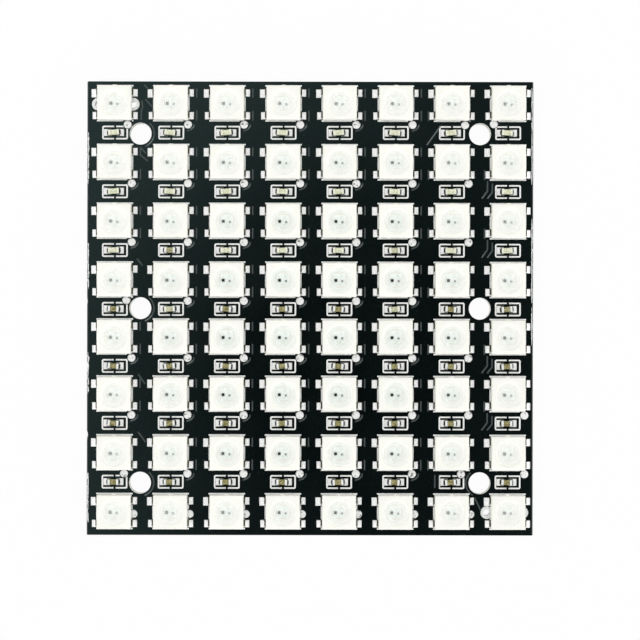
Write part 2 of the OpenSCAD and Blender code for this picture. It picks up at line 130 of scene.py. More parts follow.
def sharp_edges(obj, degrees, keep):
    """Selects the sharp edges whose two ends pass a test."""
    edit(obj, "EDGE", "DESELECT")
    bpy.ops.mesh.edges_select_sharp(sharpness=math.radians(degrees))
    leave()
    mesh = obj.data
    chosen = {
        e.index for e in mesh.edges
        if e.select and keep(*(mesh.vertices[i].co for i in e.vertices))
    }
    bpy.ops.object.mode_set(mode="EDIT")
    return choose(obj, "EDGE", lambda e: e.index in chosen)


def modifier(obj, kind, **settings):
    pick(obj)
    m = obj.modifiers.new(kind.title(), kind)
    for key, value in settings.items():
        setattr(m, key, value)
    bpy.ops.object.modifier_apply(modifier=m.name)


def place_in_mesh(obj):
    """Puts the place, turn and size of an object into its mesh."""
    pick(obj)
    bpy.ops.object.transform_apply(location=True, rotation=True, scale=True)


def copy_of(node, name):
    """A copy of a CAD node with its loose triangles merged into whole faces."""
    obj = bpy.data.objects.new(name, NODES[node].data.copy())
    obj.data.name = name
    bpy.context.scene.collection.objects.link(obj)
    edit(obj)
    bpy.ops.mesh.remove_doubles(threshold=1e-6)
    bpy.ops.mesh.customdata_custom_splitnormals_clear()
    bpy.ops.mesh.dissolve_limited(angle_limit=math.radians(1))
    leave()
    return obj


def smooth(obj, degrees=40):
    pick(obj)
    bpy.ops.object.shade_smooth_by_angle(angle=math.radians(degrees))


def join(objs, name):
    pick(*objs)
    bpy.ops.object.join()
    return named(name)


def finish_piece(obj, material, slot, *nodes):
    """Gives a finished piece its material and its body, and hides the CAD nodes that it replaces."""
    obj.data.materials.clear()
    obj.data.materials.append(material)
    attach(obj, "root")
    if nodes:
        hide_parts(*nodes)


def paint(material, *names):
    """Puts a material on CAD nodes."""
    for name in names:
        slots = NODES[name].material_slots
        if not slots:
            raise RuntimeError(f"{name} has no material slot")
        for s in slots:
            s.material = material


# Shader maths

class Num:
    """A number inside a material. Sums and products of it add their Math nodes."""

    def __init__(self, mat, socket):
        self.mat, self.socket = mat, socket

    def math(self, operation, *values, **settings):
        return self.mat.node("ShaderNodeMath", {"operation": operation, **settings}, *values)

    def __add__(self, other):
        return self.math("ADD", self, other)

    def __sub__(self, other):
        return self.math("SUBTRACT", self, other)

    def __rsub__(self, other):
        return self.math("SUBTRACT", other, self)

    def __mul__(self, other):
        return self.math("MULTIPLY", self, other)

    def __truediv__(self, other):
        return self.math("DIVIDE", self, other)

    def __pow__(self, other):
        return self.math("POWER", self, other)

    def __gt__(self, other):
        return self.math("GREATER_THAN", self, other)

    def __lt__(self, other):
        return self.math("LESS_THAN", self, other)

    def __abs__(self):
        return self.math("ABSOLUTE", self)

    def clamp(self):
        return self.math("ADD", self, 0.0, use_clamp=True)

    __radd__ = __add__
    __rmul__ = __mul__


class Finish:
    """A node material under construction."""

    def __init__(self, name):
        self.material = bpy.data.materials.new(name)
        self.material.use_nodes = True
        self.tree = self.material.node_tree
        self.tree.nodes.clear()
        self.at = 0

    def node(self, kind, settings=None, *values, out=0, **sockets):
        n = self.tree.nodes.new(kind)
        self.at += 1
        n.location = (180 * (self.at % 12), -220 * (self.at // 12))
        for key, value in (settings or {}).items():
            if key == "stops":
                ramp = n.color_ramp
                while len(ramp.elements) < len(value):
                    ramp.elements.new(0.5)
                for element, (pos, colour) in zip(ramp.elements, value):
                    element.position = pos
                    element.color = (*colour, 1)
            else:
                setattr(n, key, value)
        for key, value in [*enumerate(values), *sockets.items()]:
            key = key.replace("_", " ") if isinstance(key, str) else key
            if isinstance(value, Num):
                self.tree.links.new(value.socket, n.inputs[key])
            elif isinstance(value, (tuple, list)) and len(value) == 3 and n.inputs[key].type == "RGBA":
                n.inputs[key].default_value = (*value, 1)
            else:
                n.inputs[key].default_value = value
        return Num(self, n.outputs[out])

    def mm(self):
        """Object coordinates in millimetres."""
        spot = self.node("ShaderNodeTexCoord", out="Object")
        return self.node("ShaderNodeVectorMath", {"operation": "SCALE"}, spot, Scale=1000.0)

    def split(self, vector):
        n = self.tree.nodes.new("ShaderNodeSeparateXYZ")
        self.tree.links.new(vector.socket, n.inputs[0])
        return [Num(self, o) for o in n.outputs]

    def stretch(self, vector, x, y, z):
        return self.node("ShaderNodeVectorMath", {"operation": "MULTIPLY"}, vector, (x, y, z))

    def noise(self, vector, scale, detail=2.0, rough=0.5):
        return self.node(
            "ShaderNodeTexNoise", {}, Vector=vector, Scale=scale, Detail=detail, Roughness=rough
        )

    def range(self, value, lo, hi, to_lo=0.0, to_hi=1.0):
        """A value moved from one range to another, smoothly and without overshoot."""
        return self.node(
            "ShaderNodeMapRange", {"interpolation_type": "SMOOTHSTEP"},
            Value=value, From_Min=lo, From_Max=hi, To_Min=to_lo, To_Max=to_hi,
        )

    def mix(self, share, a, b):
        n = self.tree.nodes.new("ShaderNodeMix")
        n.data_type = "RGBA"
        for socket, value in ((n.inputs["Factor"], share), (n.inputs[6], a), (n.inputs[7], b)):
            if isinstance(value, Num):
                self.tree.links.new(value.socket, socket)
            elif isinstance(value, (tuple, list)):
                socket.default_value = (*value, 1)
            else:
                socket.default_value = value
        return Num(self, n.outputs[2])

    def bump(self, height, strength, distance):
        return self.node(
            "ShaderNodeBump", {}, Height=height, Strength=strength, Distance=distance
        )

    def surface(self, **sockets):
        shader = self.node("ShaderNodeBsdfPrincipled", {}, **sockets)
        self.output(shader)
        return self.material

    def output(self, shader):
        n = self.tree.nodes.new("ShaderNodeOutputMaterial")
        self.tree.links.new(shader.socket, n.inputs["Surface"])


# Materials

def mask_colour(f, p):
    """Black solder mask with a few specks of dust."""
    dust = f.range(f.noise(p, 9.0, 1.0), 0.71, 0.78)
    return f.mix(dust * 0.3, tuple(LOOKS().mask_colour), (0.08, 0.10, 0.10))


def mask_finish():
    """Black solder mask: semi-gloss, a little cyan, with fine orange peel."""
    f = Finish("black_solder_mask")
    p = f.mm()
    cloud = f.noise(p, 0.12, 2.0)
    return f.surface(
        Base_Color=mask_colour(f, p),
        Roughness=f.range(cloud, 0.3, 0.7, 0.11, 0.16),
        Specular_Tint=(0.62, 1.0, 0.96, 1.0),
        Normal=f.bump(f.noise(p, 1.1, 3.0), 0.12, 0.00002),
    )


def ridge_finish():
    """The same mask stretched over a track, where it is thin and glossier."""
    f = Finish("mask_over_track")
    p = f.mm()
    thin = f.noise(p, 0.8, 2.0)
    return f.surface(
        Base_Color=f.mix(thin * 0.5, mask_colour(f, p), (0.006, 0.010, 0.010)),
        Roughness=f.range(thin, 0.3, 0.7, 0.16, 0.28),
        Specular_Tint=(0.8, 1.0, 0.98, 1.0),
        Specular_IOR_Level=1.0,
        Coat_Weight=0.6,
        Normal=f.bump(f.noise(p, 1.6, 3.0), 0.2, 0.00002),
    )


def laminate_finish():
    """Glass fibre board: pale in the holes, dark on the scored edges, whitish where they snapped."""
    f = Finish("glass_fibre_board")
    p = f.mm()
    x, y, z = f.split(p)
    weave = f.noise(f.stretch(p, 1.0, 0.35, 5.0), 3.0, 3.0)
    rough = f.noise(f.stretch(p, 0.2, 1.0, 1.0), 0.35, 3.0)
    # The snapped middle is torn in patches, the scored bevels only here and there on the left
    middle = abs(z - (BOARD_LO.z + BOARD_HI.z) / 2 / MM) < 0.36
    torn = f.range(rough, 0.48, 0.62) * middle + f.range(rough, 0.6, 0.68) * (x < 0.0) * (1 - middle)
    fibre = f.mix(weave, (0.72, 0.72, 0.66), (0.95, 0.95, 0.92))
    scored = f.range(abs(x), BOARD_HI.x / MM - 0.3, BOARD_HI.x / MM - 0.24) * (1 - torn)
    return f.surface(
        Base_Color=f.mix(scored, fibre, (0.02, 0.028, 0.026)),
        Roughness=0.75,
        Normal=f.bump(weave, 0.5, 0.0001),
    )


def copper_finish():
    f = Finish("copper")
    p = f.mm()
    stain = f.noise(p, 0.6, 3.0)
    return f.surface(
        Base_Color=f.mix(stain, (0.72, 0.38, 0.22), (0.85, 0.52, 0.34)),
        Metallic=1.0,
        Roughness=f.range(stain, 0.2, 0.8, 0.25, 0.45),
    )


def solder_finish(name, painted_shade_share=0.0):
    """Bright tin solder with faint grain. With a painted shade share above zero, the solder that climbs a chip end
    is painted near black, and so is the joint across its whole width next to that end: painted shade for the dark
    that the steep fillet mirrors.
    """
    f = Finish(name)
    p = f.mm()
    x, y, z = f.split(p)
    grain = f.noise(p, 4.0, 3.0)
    blot = f.range(f.noise(p, 1.6, 2.0), 0.64, 0.74)
    flat = f.mix(blot * 0.2, tuple(LOOKS().solder_colour), (0.55, 0.56, 0.56))
    steep = f.range(z, MASK_TOP / MM + 0.04, MASK_TOP / MM + 0.07)
    # Painted shade: the joint is painted dark right up to the end of the chip, across its whole width
    lo, hi = (v.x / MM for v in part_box("capacitor_ends"))
    end = (hi - lo - 7 * STEP_X / MM) / 2
    turn = x - (lo + end - STEP_X / MM / 2)
    along = abs(turn.math("FLOORED_MODULO", turn, STEP_X / MM) - STEP_X / MM / 2)
    shade = steep.math("MAXIMUM", steep, f.range(along, end + 0.06, end + 0.12, 0.85, 0.0))
    return f.surface(
        # Painted shade mixed into the base colour, only where the painted shade share is above zero
        Base_Color=f.mix(shade * painted_shade_share, flat, (0.03, 0.035, 0.025)),
        Metallic=f.range(steep, 0.0, 1.0, 0.1, 0.1 + 0.7 * painted_shade_share),
        Roughness=f.range(grain, 0.3, 0.7, 0.38, 0.55),
        Normal=f.bump(grain, 0.25, 0.00004),
    )


def filled_hole_finish():
    """Solder in the filled holes, smudged grey and black over the drilled middle."""
    f = Finish("smudged_solder")
    p = f.mm()
    smudge = f.range(f.noise(p, 2.6, 2.0), 0.59, 0.67)
    grain = f.noise(p, 5.0, 2.0)
    return f.surface(
        Base_Color=f.mix(smudge * 0.75, tuple(LOOKS().solder_colour), (0.06, 0.06, 0.06)),
        Metallic=0.1,
        Roughness=f.range(grain, 0.3, 0.7, 0.38, 0.55),
        Normal=f.bump(grain, 0.4, 0.00006),
    )


def print_finish():
    """White printed ink, matt, a little thin and uneven at its edges."""
    f = Finish("white_print")
    p = f.mm()
    thin = f.range(f.noise(p, 3.5, 3.0), 0.55, 0.75)
    return f.surface(
        Base_Color=f.mix(thin * 0.35, tuple(LOOKS().print_colour), (0.55, 0.58, 0.57)),
        Roughness=0.6,
        Normal=f.bump(f.noise(p, 8.0), 0.2, 0.00002),
    )


def housing_finish():
    """Cream white moulded plastic, satin, with a faint mottle."""
    f = Finish("white_housing_plastic")
    p = f.mm()
    mottle = f.noise(p, 0.9, 3.0)
    return f.surface(
        Base_Color=f.mix(mottle, tuple(LOOKS().housing_colour), (0.955, 0.955, 0.895)),
        Roughness=f.range(mottle, 0.3, 0.7, 0.42, 0.5),
        Normal=f.bump(f.noise(p, 12.0, 2.0), 0.12, 0.00002),
    )


def lead_finish():
    """Plated strip: dull olive where it bends down outside, white under the resin, where it also has a faint painted
    glow.
    """
    f = Finish("lead_frame")
    p = f.mm()
    x, y, z = f.split(p)
    step = STEP_X / MM
    turn = x - (GRID[1][0][0].x / MM - step / 2)
    across = abs(turn.math("FLOORED_MODULO", turn, step) - step / 2)
    inside = (z > FLOOR_Z / MM - 0.02) * (across < 2.2)
    brushed = f.noise(f.stretch(p, 6.0, 0.6, 1.0), 2.0, 2.0)
    dull = f.mix(brushed, (0.045, 0.048, 0.022), (0.11, 0.11, 0.06))
    return f.surface(
        Base_Color=f.mix(inside, dull, (0.95, 0.995, 0.955)),
        # Painted light: a faint glow on the strip under the resin
        Emission_Color=f.mix(inside, (0, 0, 0), (0.05, 0.07, 0.06)),
        Emission_Strength=1.0,
        Metallic=(1 - inside) * 0.9,
        Roughness=f.range(brushed, 0.3, 0.7, 0.3, 0.42),
    )


def cup_distance(f, x, y):
    """Distance from the middle of the nearest cup, in millimetres."""
    step = STEP_X / MM
    turn = x - (GRID[1][0][0].x / MM - step / 2)
    across = turn.math("FLOORED_MODULO", turn, step) - step / 2
    down = abs(y - GRID[1][0][0].y / MM)
    for row in ROWS[1:]:
        down = down.math("MINIMUM", down, abs(y - GRID[row][0][0].y / MM))
    return (across ** 2.0 + down ** 2.0) ** 0.5


def resin_finish():
    """Milky resin, painted milkier and a little more cream the farther it lies from a spot just below the camera: a
    painted sheen, for every cup holds the same resin.
    """
    f = Finish("milky_resin")
    p = f.mm()
    x, y, z = f.split(p)
    # Painted sheen: the resin is made milkier and a little more cream the farther it lies from a spot just below the
    # camera
    from_camera_spot = (((x - 1.0) * 0.032) ** 2.0 + ((y + 4.0) * 0.03) ** 2.0) ** 0.5
    haze_and_painted_sheen = f.range(from_camera_spot, 0.45, 1.05, LOOKS().resin_clear, LOOKS().resin_milky_with_sheen)
    # The resin over the wall of the cup looks denser than over the chips
    out = cup_distance(f, x, y)
    haze_and_painted_sheen = f.range(out, 0.75, 1.35, 0.0, 0.5) + haze_and_painted_sheen * f.range(out, 0.7, 1.4, 1.0, 0.6)
    shade = f.node("ShaderNodeLightPath", out="Is Shadow Ray")
    spread = f.node("ShaderNodeLightPath", out="Is Diffuse Ray")
    top = z > RESIN_Z / MM - SIZES().meniscus / MM - 0.02
    tint = f.mix(f.range(from_camera_spot, 0.2, 1.0), (0.91, 0.985, 0.94), (0.97, 0.985, 0.93))
    return f.surface(
        Base_Color=f.mix(f.noise(p, 0.7) * 0.4, tint, (0.98, 0.985, 0.95)),
        Roughness=0.22,
        Alpha=haze_and_painted_sheen * top * (1 - (shade + spread).clamp()),
        Normal=f.bump(f.noise(p, 1.2, 1.0), 0.06, 0.00005),
    )


def chip_finish(name, dark, light, rough, gloss=0.5):
    """A bare chip with the fine squares of its top metal."""
    f = Finish(name)
    p = f.mm()
    squares = f.node("ShaderNodeTexChecker", {}, Vector=p, Scale=9.0, out="Fac")
    edge = f.noise(p, 8.0, 2.0)
    return f.surface(
        Base_Color=f.mix(squares * 0.5 + edge * 0.3, dark, light),
        Roughness=rough,
        Specular_IOR_Level=gloss,
    )


def lower_rows(f, p):
    """0 at the capacitors of the upper rows, 1 at those of the lower ones."""
    y = f.split(p)[1]
    stray = f.noise(f.stretch(p, 0.12, 0.12, 0.0), 1.0, 0.0) - 0.5
    return f.range(y + stray * 24.0, 1.0, 9.0, 1.0, 0.0)


def ceramic_finish():
    """Capacitor ceramic: pale cream in the upper rows, tan in the lower ones."""
    f = Finish("capacitor_ceramic")
    p = f.mm()
    speck = f.noise(p, 4.0, 3.0)
    cream = f.mix(f.range(speck, 0.35, 0.65), (0.62, 0.63, 0.42), (0.88, 0.89, 0.70))
    tan = f.mix(f.range(speck, 0.35, 0.65), (0.16, 0.14, 0.035), (0.42, 0.38, 0.19))
    return f.surface(
        Base_Color=f.mix(lower_rows(f, p), cream, tan),
        Roughness=0.42,
        Normal=f.bump(speck, 0.3, 0.00003),
    )


def cap_end_finish():
    """Tinned chip ends: cream in the upper rows, white in the lower ones, and painted near black below their top as
    a painted shade on their steep sides.
    """
    f = Finish("tinned_ends")
    p = f.mm()
    z = f.split(p)[2]
    grain = f.noise(p, 6.0, 3.0)
    cream = f.mix(grain, (0.86, 0.86, 0.68), (0.95, 0.95, 0.82))
    white = f.mix(grain, (0.95, 0.96, 0.94), (0.88, 0.90, 0.88))
    # Painted shade: below their top the ends are painted near black
    rim = f.range(z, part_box("capacitor_ends")[1].z / MM - 0.1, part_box("capacitor_ends")[1].z / MM - 0.03)
    return f.surface(
        Base_Color=f.mix(rim, (0.03, 0.035, 0.025), f.mix(lower_rows(f, p), cream, white)),
        Metallic=0.15,
        Roughness=f.range(grain, 0.3, 0.7, 0.32, 0.47),
        Normal=f.bump(grain, 0.3, 0.00004),
    )


def tin_finish(name, colour, rough):
    f = Finish(name)
    p = f.mm()
    grain = f.noise(p, 6.0, 3.0)
    return f.surface(
        Base_Color=f.mix(grain, colour, tuple(0.9 * c for c in colour)),
        Metallic=0.1,
        Roughness=f.range(grain, 0.3, 0.7, rough, rough + 0.15),
        Normal=f.bump(grain, 0.3, 0.00004),
    )


def fibre_finish():
    f = Finish("torn_glass_fibre")
    p = f.mm()
    strand = f.noise(f.stretch(p, 8.0, 0.8, 8.0), 3.0, 2.0)
    return f.surface(
        Base_Color=f.mix(strand, (0.80, 0.82, 0.80), (0.97, 0.98, 0.97)),
        Roughness=0.6,
        Normal=f.bump(strand, 0.4, 0.00005),
    )


# What a user would change

class LookSettings(bpy.types.PropertyGroup):
    housing_colour: FloatVectorProperty(
        name="Housing", description="Colour of the LED housings", subtype="COLOR",
        default=(0.93, 0.93, 0.86), min=0, max=1)
    mask_colour: FloatVectorProperty(
        name="Solder mask", description="Colour of the solder mask", subtype="COLOR",
        default=(0.0015, 0.0029, 0.0030), min=0, max=1)
    solder_colour: FloatVectorProperty(
        name="Solder", description="Colour of the solder", subtype="COLOR",
        default=(0.98, 0.985, 0.98), min=0, max=1)
    print_colour: FloatVectorProperty(
        name="Print", description="Colour of the printed lines", subtype="COLOR",
        default=(0.98, 0.985, 0.97), min=0, max=1)
    # The resin's opacity rises from the clearest to the milkiest value away from a spot just below the camera; that
    # rise is painted sheen
    resin_clear: FloatProperty(
        name="Clearest resin", description="Opacity of the resin in the middle of the panel",
        default=0.01, min=0, max=1, subtype="FACTOR")
    resin_milky_with_sheen: FloatProperty(
        name="Milkiest resin", description="Opacity of the resin at the edge of the panel",
        default=0.34, min=0, max=1, subtype="FACTOR")


class SizeSettings(bpy.types.PropertyGroup):
    edge_round: FloatProperty(
        name="Housing edge", description="Rounding of the outer edges of the housings",
        default=0.06 * MM, unit="LENGTH", precision=5)
    rim_round: FloatProperty(
        name="Cup rim", description="Rounding of the rim of the cup",
        default=0.02 * MM, unit="LENGTH", precision=5)
    meniscus: FloatProperty(
        name="Meniscus", description="How far the resin sinks in the middle of a cup",
        default=0.08 * MM, unit="LENGTH", precision=5)
    joint_round: FloatProperty(
        name="Solder edge", description="Rounding of the edges of the solder",
        default=0.05 * MM, unit="LENGTH", precision=5)
    chip_round: FloatProperty(
        name="Capacitor edge", description="Rounding of the edges of the capacitors",
        default=0.05 * MM, unit="LENGTH", precision=5)
    ridge_h: FloatProperty(
        name="Track ridge", description="Height of the mask over a copper track",
        default=0.04 * MM, unit="LENGTH", precision=5)
    ridge_w: FloatProperty(
        name="Ridge width", description="Width of the ridge over a copper track",
        default=0.2 * MM, unit="LENGTH", precision=5)
    fibres: IntProperty(
        name="Torn fibres", description="Number of torn fibre strands on each snapped edge",
        default=110, min=10, max=300)
    frame_round: FloatProperty(
        name="Print corner", description="Rounding of the corners of the printed capacitor frames",
        default=0.26 * MM, unit="LENGTH", precision=5)


class StageSettings(bpy.types.PropertyGroup):
    distance: FloatProperty(
        name="Camera distance", description="Height of the camera over the board",
        default=0.243, unit="LENGTH")
    view_width: FloatProperty(
        name="View width", description="Width of the view at the face of the board",
        default=0.09313, unit="LENGTH", precision=6)
    aim_x: FloatProperty(
        name="Camera right", description="Place of the camera, to the right",
        default=0.001455, unit="LENGTH", precision=6)
    aim_y: FloatProperty(
        name="Camera up", description="Place of the camera, towards row 1",
        default=-0.001681, unit="LENGTH", precision=6)
    turn: FloatProperty(
        name="Camera turn", description="Turn of the camera about its line of sight",
        default=math.radians(0.1), unit="ROTATION", precision=3)
    dome: FloatProperty(
        name="Dome", description="Strength of the white dome of light", default=0.775, min=0)
    side: FloatProperty(
        name="Side lamp", description="Power of the soft lamp at the upper left, in watts",
        default=0.4, min=0)


def LOOKS():
    return bpy.context.scene.led_panel_looks


def SIZES():
    return bpy.context.scene.led_panel_sizes


def STAGE():
    return bpy.context.scene.led_panel_stage


# Operators, one for each group of like pieces

class LEDPANEL_OT_board(bpy.types.Operator):
    """Finishes the laminate, the solder masks and the copper, and raises the mask over the tracks"""

    bl_idname = "led_panel.board"
    bl_label = "Board"

    def execute(self, context):
        mask = mask_finish()
        paint(mask, "solder_mask_front", "solder_mask_back")
        paint(laminate_finish(), "board_laminate")
        paint(copper_finish(), "back_copper_plane", "front_tracks")
        finish_piece(track_ridges(), ridge_finish(), "solder_mask")
        return {"FINISHED"}


# Single ridges that the photograph shows, as points of the board in millimetres
RIDGES = (
    ((-24.2, 32.5), (-23.5, 31.8)), ((-24.0, 30.4), (-23.0, 29.3)),
    ((-24.5, 30.2), (-24.4, 29.3), (-24.6, 28.6), (-24.6, 27.4)),
    ((-24.7, 23.4), (-23.9, 22.5)), ((-24.6, 22.2), (-23.6, 21.4)),
    ((-25.2, 7.2), (-24.4, 6.2)), ((-25.0, -9.6), (-24.0, -11.0)), ((-25.0, -18.0), (-23.9, -19.5)),
    ((25.8, 18.6), (25.8, 17.1), (25.0, 16.0)), ((26.5, 18.2), (26.5, 16.9), (25.8, 16.0)),
    ((25.8, 10.0), (25.8, 8.6), (25.0, 7.4)), ((26.5, 9.6), (26.5, 8.4), (25.8, 7.4)),
    ((25.8, -6.9), (25.8, -8.3), (25.0, -9.4)), ((26.5, -7.3), (26.5, -8.5), (25.8, -9.4)),
    ((25.8, -15.2), (25.8, -16.6), (25.0, -17.7)), ((26.5, -15.6), (26.5, -16.8), (25.8, -17.7)),
    ((18.2, -24.2), (18.2, -26.1)), ((18.8, -24.2), (18.8, -26.1)),
    ((19.0, 26.6), (17.0, 23.8)), ((24.0, -27.5), (24.9, -29.4)),
)


def track_lines():
    """Lines of the tracks that lift the mask, in millimetres on the board."""
    lines = [list(line) for line in RIDGES]
    for row in CAP_ROWS:
        for col, c in enumerate(GRID[row][0]):
            x, y = c.x / MM, (c.y - PAD_DROP) / MM
            if col <= 5:
                if col or row not in (1, 4, 7):
                    lines.append([(x + 3.7, y + 2.3), (x + 3.7, y + 1.0)])
                    lines.append([(x + 3.7, y - 0.9), (x + 3.7, y - 2.4)])
                    lines.append([(x + 3.36, y - 2.9), (x + 3.3, y - 3.3), (x + 2.95, y - 3.65),
                                  (x + 2.3, y - 3.9)])
            elif row not in (1, 4, 7) or col == 6:
                lines.append([(x - 3.42, y - 0.95), (x - 3.42, y - 2.4)])
    for y in (25.4, 0.0, -25.4):
        lines.append(arc(-24.7, y, -70, 51))
    lines.append(arc(24.7, -25.4, 130, 241))
    return lines


def arc(x, y, first, last):
    """Points round a mounting hole, every ten degrees."""
    turns = [math.radians(a) for a in range(first, last, 10)]
    return [(x + 2.0 * math.cos(a), y + 2.0 * math.sin(a)) for a in turns]


def track_ridges():
    """Low ridges with sloping sides, swept along the tracks."""
    s = SIZES()
    w, h = s.ridge_w / 2, s.ridge_h
    profile = bpy.data.curves.new("ridge_profile", "CURVE")
    profile.dimensions = "2D"
    spline = profile.splines.new("POLY")
    points = [(-w, 0), (-w * 0.15, h * 0.95), (0, h), (w * 0.15, h * 0.95), (w, 0)]
    spline.points.add(len(points) - 1)
    for point, (x, y) in zip(spline.points, points):
        point.co = (x, y, 0, 1)
    spline.use_cyclic_u = True
    section = bpy.data.objects.new("ridge_profile", profile)
    bpy.context.scene.collection.objects.link(section)
    curve = bpy.data.curves.new("mask_ridges", "CURVE")
    curve.dimensions = "2D"
    curve.fill_mode = "NONE"
    curve.bevel_mode = "OBJECT"
    curve.bevel_object = section
    curve.use_fill_caps = True
    for line in track_lines():
        spline = curve.splines.new("POLY")
        spline.points.add(len(line) - 1)
        for point, (x, y) in zip(spline.points, line):
            point.co = (x * MM, y * MM, 0, 1)
    obj = bpy.data.objects.new("mask_ridges", curve)
    bpy.context.scene.collection.objects.link(obj)
    obj.location.z = MASK_TOP
    pick(obj)
    bpy.ops.object.convert(target="MESH")
    bpy.data.objects.remove(section)
    obj = named("mask_ridges")
    place_in_mesh(obj)
    edit(obj)
    bpy.ops.mesh.remove_doubles(threshold=1e-7)
    bpy.ops.mesh.normals_make_consistent(inside=False)
    leave()
    smooth(obj, 30)
    return obj


class LEDPANEL_OT_edges(bpy.types.Operator):
    """Lays torn glass fibres along the two snapped edges of the board"""

    bl_idname = "led_panel.edges"
    bl_label = "Snapped edges"

    def execute(self, context):
        finish = fibre_finish()
        for side, name in ((-1, "torn_fibres_left"), (1, "torn_fibres_right")):
            obj = torn_fibres(side, name)
            finish_piece(obj, finish, "glass_fibre_laminate")
        return {"FINISHED"}


def torn_fibres(side, name):
    """Strands of three faces lying along the bevel that scoring left."""
    draw = random.Random(11 + side)
    edge = BOARD_HI.x if side > 0 else -BOARD_LO.x
    # Where each edge shows torn stretches, in millimetres up the board
    stretches = [(18.2, 25.2), (3.0, 9.4), (-12.2, -6.6), (-31.0, -24.2)]
    if side > 0:
        stretches = [(26.0, 31.5), (18.6, 25.0), (1.0, 12.5), (-4.5, -0.5)]
    total = sum(b - a for a, b in stretches)
    strands = []
    for k in range(SIZES().fibres):
        t = total * (k + draw.random()) / SIZES().fibres
        for a, b in stretches:
            if t < b - a:
                break
            t -= b - a
        length = draw.uniform(0.25, 1.0) if side < 0 else draw.uniform(0.5, 1.8)
        thick = draw.uniform(0.05, 0.1) if side < 0 else draw.uniform(0.04, 0.07)
        y = max(-32.9 + length / 2, min(32.9 - length / 2, a + t))
        inset = thick + 0.05 + 0.16 * draw.random() if side < 0 else draw.uniform(0.2, 0.27)
        # The bevel falls 0.45 over its width of 0.22
        z = MASK_TOP / MM - 0.45 * max(0, 1 - inset / 0.22) + thick * 0.3
        deselect()
        bpy.ops.mesh.primitive_cone_add(
            vertices=3, radius1=thick * MM, radius2=thick * 0.4 * MM, depth=length * MM,
            location=(side * (edge - inset * MM), y * MM, z * MM),
            rotation=(math.radians(90), draw.uniform(0, 6.28), draw.uniform(-0.06, 0.06)))
        strands.append(bpy.context.object)
    obj = join(strands, name)
    place_in_mesh(obj)
    return obj


class LEDPANEL_OT_holes(bpy.types.Operator):
    """Rounds the solder in the filled holes and finishes the header holes"""

    bl_idname = "led_panel.holes"
    bl_label = "Filled and header holes"

    def execute(self, context):
        obj = copy_of("filled_holes", "solder_filled_holes")
        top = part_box("filled_holes")[1].z
        choose_on(obj, "EDGE", lambda a, b: min(a.z, b.z) > top - 0.001 * MM)
        bpy.ops.mesh.bevel(offset=0.03 * MM, segments=3, affect="EDGES")
        leave()
        smooth(obj, 50)
        finish_piece(obj, filled_hole_finish(), "solder", "filled_holes")
        paint(tin_finish("tinned_copper", (0.95, 0.96, 0.95), 0.35),
              "data_in_header_holes", "data_out_header_holes")
        return {"FINISHED"}


def choose_on(obj, kind, keep):
    """Selects edges whose two ends pass a test."""
    edit(obj, kind, "DESELECT")
    mesh = obj.data
    return choose(obj, kind, lambda e: keep(*(mesh.vertices[i].co for i in e.vertices)))


class LEDPANEL_OT_prints(bpy.types.Operator):
    """Finishes the white printed frames, and rounds those of the capacitors"""

    bl_idname = "led_panel.prints"
    bl_label = "White print"

    def execute(self, context):
        ink = print_finish()
        paint(ink, "printed_led_frames")
        node = "printed_capacitor_frames"
        obj = copy_of(node, "rounded_capacitor_frames")
        lo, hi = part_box(node)
        half_w, half_h = 1.875 * MM, 1.0 * MM

        def corner(a, b):
            if abs(a.z - b.z) < 0.01 * MM:
                return False
            for row in CAP_ROWS:
                for c in GRID[row][0]:
                    dx, dy = abs(a.x - c.x), abs(a.y - c.y + PAD_DROP + CAP_DROP)
                    if dx < half_w + 0.01 * MM and dy < half_h + 0.01 * MM:
                        return dx > half_w - 0.01 * MM and dy > half_h - 0.01 * MM
            return False

        choose_on(obj, "EDGE", corner)
        bpy.ops.mesh.bevel(offset=SIZES().frame_round, segments=4, affect="EDGES", clamp_overlap=False)
        leave()
        finish_piece(obj, ink, "white_print", node)
        return {"FINISHED"}


class LEDPANEL_OT_housings(bpy.types.Operator):
    """Rounds the edges of the LED housings as moulding leaves them"""

    bl_idname = "led_panel.housings"
    bl_label = "LED housings"

    def execute(self, context):
        finish = housing_finish()
        for row in ROWS:
            node = f"led_housings_row_{row}"
            obj = copy_of(node, f"moulded_housings_row_{row}")
            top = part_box(node)[1].z
            centres = GRID[row][0]

            def from_middle(v):
                c = min(centres, key=lambda c: abs(c.x - v.x))
                return math.hypot(v.x - c.x, v.y - c.y)

            def outer(a, b):
                if min(from_middle(a), from_middle(b)) < 2.2 * MM:
                    return False
                return min(a.z, b.z) > top - 0.01 * MM

            sharp_edges(obj, 25, outer)
            bpy.ops.mesh.bevel(offset=SIZES().edge_round, segments=2, affect="EDGES")
            leave()

            def rim(a, b):
                return (max(from_middle(a), from_middle(b)) < 2.1 * MM
                        and min(a.z, b.z) > top - 0.01 * MM)

            sharp_edges(obj, 25, rim)
            bpy.ops.mesh.bevel(offset=SIZES().rim_round, segments=1, affect="EDGES")
            leave()
            smooth(obj, 35)
            finish_piece(obj, finish, "led_housing", node)
        return {"FINISHED"}


class LEDPANEL_OT_leads(bpy.types.Operator):
    """Finishes the lead frames of the LEDs"""

    bl_idname = "led_panel.leads"
    bl_label = "LED lead frames"

    def execute(self, context):
        paint(lead_finish(), *(f"led_leads_row_{row}" for row in ROWS))
        return {"FINISHED"}


